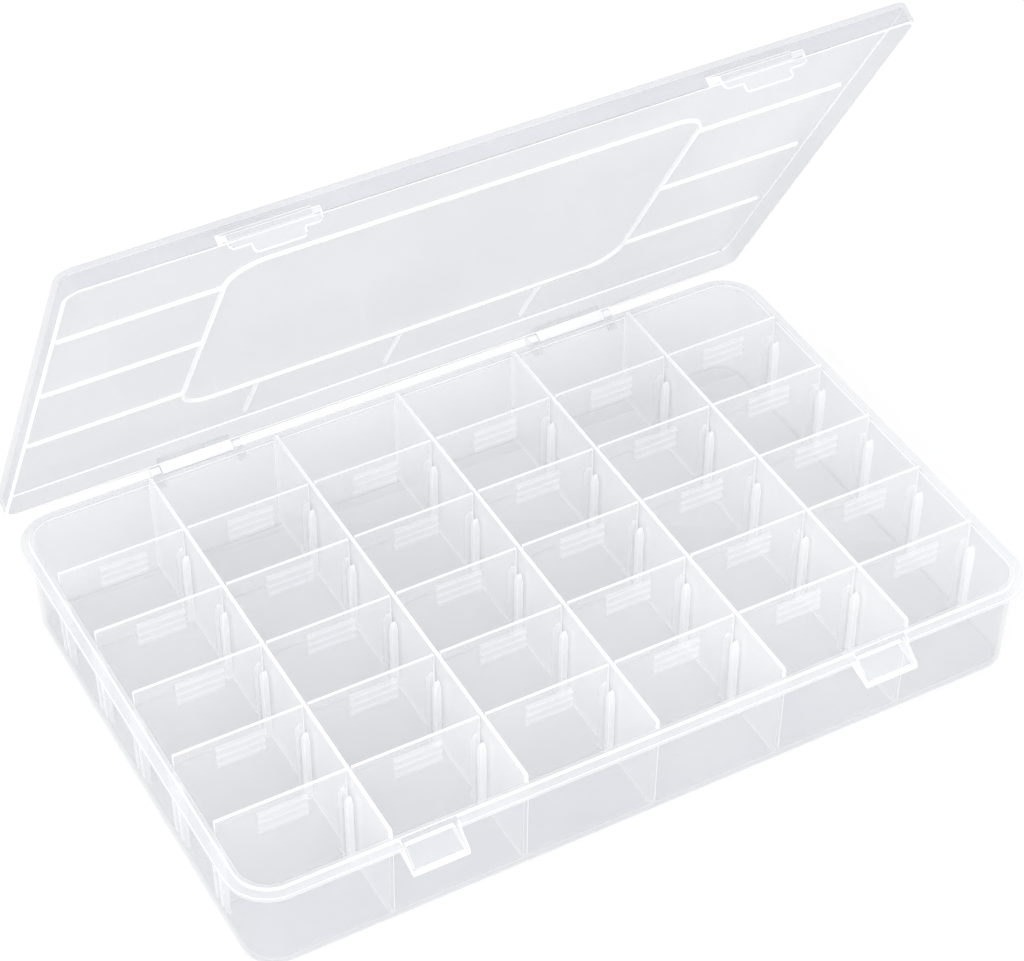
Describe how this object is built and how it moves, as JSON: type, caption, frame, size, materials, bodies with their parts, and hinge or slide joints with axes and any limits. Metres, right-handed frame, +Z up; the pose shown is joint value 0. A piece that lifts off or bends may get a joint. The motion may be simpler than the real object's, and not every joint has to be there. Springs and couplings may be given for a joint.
{
  "type": "compartment storage box",
  "caption": "Clear plastic storage box with a grid of compartments, lift-out dividers in guide slots, and a hinged lid with front latches.",
  "frame": {"origin": "centre of the tray's flat bottom face, on the surface the box stands on", "axes": "+X along the long side, -Y towards the latches, +Y towards the hinges, +Z up; modelled with the lid 60 degrees open and all dividers in place"},
  "size_m": [0.274, 0.1931, 0.1975],
  "materials": {
    "tray_plastic": "clear, slightly milky polypropylene, injection moulded, glossy",
    "lid_plastic": "clear, slightly milky polypropylene, injection moulded, glossy",
    "divider_plastic": "clear, slightly milky polypropylene, injection moulded, glossy"
  },
  "bodies": {
    "tray": {"tray": "tray_plastic"},
    "lid": {"lid": "lid_plastic"},
    "divider_c1_r1": {"divider_c1_r1": "divider_plastic"},
    "divider_c1_r2": {"divider_c1_r2": "divider_plastic"},
    "divider_c1_r3": {"divider_c1_r3": "divider_plastic"},
    "divider_c1_r4": {"divider_c1_r4": "divider_plastic"},
    "divider_c1_r5": {"divider_c1_r5": "divider_plastic"},
    "divider_c2_r1": {"divider_c2_r1": "divider_plastic"},
    "divider_c2_r2": {"divider_c2_r2": "divider_plastic"},
    "divider_c2_r3": {"divider_c2_r3": "divider_plastic"},
    "divider_c2_r4": {"divider_c2_r4": "divider_plastic"},
    "divider_c2_r5": {"divider_c2_r5": "divider_plastic"},
    "divider_c3_r1": {"divider_c3_r1": "divider_plastic"},
    "divider_c3_r2": {"divider_c3_r2": "divider_plastic"},
    "divider_c3_r3": {"divider_c3_r3": "divider_plastic"},
    "divider_c3_r4": {"divider_c3_r4": "divider_plastic"},
    "divider_c3_r5": {"divider_c3_r5": "divider_plastic"},
    "divider_c4_r1": {"divider_c4_r1": "divider_plastic"},
    "divider_c4_r2": {"divider_c4_r2": "divider_plastic"},
    "divider_c4_r3": {"divider_c4_r3": "divider_plastic"},
    "divider_c4_r4": {"divider_c4_r4": "divider_plastic"},
    "divider_c4_r5": {"divider_c4_r5": "divider_plastic"},
    "divider_c5_r1": {"divider_c5_r1": "divider_plastic"},
    "divider_c5_r2": {"divider_c5_r2": "divider_plastic"},
    "divider_c5_r3": {"divider_c5_r3": "divider_plastic"},
    "divider_c5_r4": {"divider_c5_r4": "divider_plastic"},
    "divider_c5_r5": {"divider_c5_r5": "divider_plastic"},
    "divider_c6_r1": {"divider_c6_r1": "divider_plastic"},
    "divider_c6_r2": {"divider_c6_r2": "divider_plastic"},
    "divider_c6_r3": {"divider_c6_r3": "divider_plastic"},
    "divider_c6_r4": {"divider_c6_r4": "divider_plastic"},
    "divider_c6_r5": {"divider_c6_r5": "divider_plastic"}
  },
  "joints": [
    {"name": "lid_hinge", "type": "hinge", "parent": "tray", "child": "lid", "pos_m": [0, 0.09175, 0.0337], "axis": [-1, 0, 0], "range_deg": [-60, 120]},
    {"name": "lift_c1_r1", "type": "slide", "parent": "tray", "child": "divider_c1_r1", "axis": [0, 0, 1], "range_m": [0, 0.045]},
    {"name": "lift_c1_r2", "type": "slide", "parent": "tray", "child": "divider_c1_r2", "axis": [0, 0, 1], "range_m": [0, 0.045]},
    {"name": "lift_c1_r3", "type": "slide", "parent": "tray", "child": "divider_c1_r3", "axis": [0, 0, 1], "range_m": [0, 0.045]},
    {"name": "lift_c1_r4", "type": "slide", "parent": "tray", "child": "divider_c1_r4", "axis": [0, 0, 1], "range_m": [0, 0.045]},
    {"name": "lift_c1_r5", "type": "slide", "parent": "tray", "child": "divider_c1_r5", "axis": [0, 0, 1], "range_m": [0, 0.045]},
    {"name": "lift_c2_r1", "type": "slide", "parent": "tray", "child": "divider_c2_r1", "axis": [0, 0, 1], "range_m": [0, 0.045]},
    {"name": "lift_c2_r2", "type": "slide", "parent": "tray", "child": "divider_c2_r2", "axis": [0, 0, 1], "range_m": [0, 0.045]},
    {"name": "lift_c2_r3", "type": "slide", "parent": "tray", "child": "divider_c2_r3", "axis": [0, 0, 1], "range_m": [0, 0.045]},
    {"name": "lift_c2_r4", "type": "slide", "parent": "tray", "child": "divider_c2_r4", "axis": [0, 0, 1], "range_m": [0, 0.045]},
    {"name": "lift_c2_r5", "type": "slide", "parent": "tray", "child": "divider_c2_r5", "axis": [0, 0, 1], "range_m": [0, 0.045]},
    {"name": "lift_c3_r1", "type": "slide", "parent": "tray", "child": "divider_c3_r1", "axis": [0, 0, 1], "range_m": [0, 0.045]},
    {"name": "lift_c3_r2", "type": "slide", "parent": "tray", "child": "divider_c3_r2", "axis": [0, 0, 1], "range_m": [0, 0.045]},
    {"name": "lift_c3_r3", "type": "slide", "parent": "tray", "child": "divider_c3_r3", "axis": [0, 0, 1], "range_m": [0, 0.045]},
    {"name": "lift_c3_r4", "type": "slide", "parent": "tray", "child": "divider_c3_r4", "axis": [0, 0, 1], "range_m": [0, 0.045]},
    {"name": "lift_c3_r5", "type": "slide", "parent": "tray", "child": "divider_c3_r5", "axis": [0, 0, 1], "range_m": [0, 0.045]},
    {"name": "lift_c4_r1", "type": "slide", "parent": "tray", "child": "divider_c4_r1", "axis": [0, 0, 1], "range_m": [0, 0.045]},
    {"name": "lift_c4_r2", "type": "slide", "parent": "tray", "child": "divider_c4_r2", "axis": [0, 0, 1], "range_m": [0, 0.045]},
    {"name": "lift_c4_r3", "type": "slide", "parent": "tray", "child": "divider_c4_r3", "axis": [0, 0, 1], "range_m": [0, 0.045]},
    {"name": "lift_c4_r4", "type": "slide", "parent": "tray", "child": "divider_c4_r4", "axis": [0, 0, 1], "range_m": [0, 0.045]},
    {"name": "lift_c4_r5", "type": "slide", "parent": "tray", "child": "divider_c4_r5", "axis": [0, 0, 1], "range_m": [0, 0.045]},
    {"name": "lift_c5_r1", "type": "slide", "parent": "tray", "child": "divider_c5_r1", "axis": [0, 0, 1], "range_m": [0, 0.045]},
    {"name": "lift_c5_r2", "type": "slide", "parent": "tray", "child": "divider_c5_r2", "axis": [0, 0, 1], "range_m": [0, 0.045]},
    {"name": "lift_c5_r3", "type": "slide", "parent": "tray", "child": "divider_c5_r3", "axis": [0, 0, 1], "range_m": [0, 0.045]},
    {"name": "lift_c5_r4", "type": "slide", "parent": "tray", "child": "divider_c5_r4", "axis": [0, 0, 1], "range_m": [0, 0.045]},
    {"name": "lift_c5_r5", "type": "slide", "parent": "tray", "child": "divider_c5_r5", "axis": [0, 0, 1], "range_m": [0, 0.045]},
    {"name": "lift_c6_r1", "type": "slide", "parent": "tray", "child": "divider_c6_r1", "axis": [0, 0, 1], "range_m": [0, 0.045]},
    {"name": "lift_c6_r2", "type": "slide", "parent": "tray", "child": "divider_c6_r2", "axis": [0, 0, 1], "range_m": [0, 0.045]},
    {"name": "lift_c6_r3", "type": "slide", "parent": "tray", "child": "divider_c6_r3", "axis": [0, 0, 1], "range_m": [0, 0.045]},
    {"name": "lift_c6_r4", "type": "slide", "parent": "tray", "child": "divider_c6_r4", "axis": [0, 0, 1], "range_m": [0, 0.045]},
    {"name": "lift_c6_r5", "type": "slide", "parent": "tray", "child": "divider_c6_r5", "axis": [0, 0, 1], "range_m": [0, 0.045]}
  ]
}
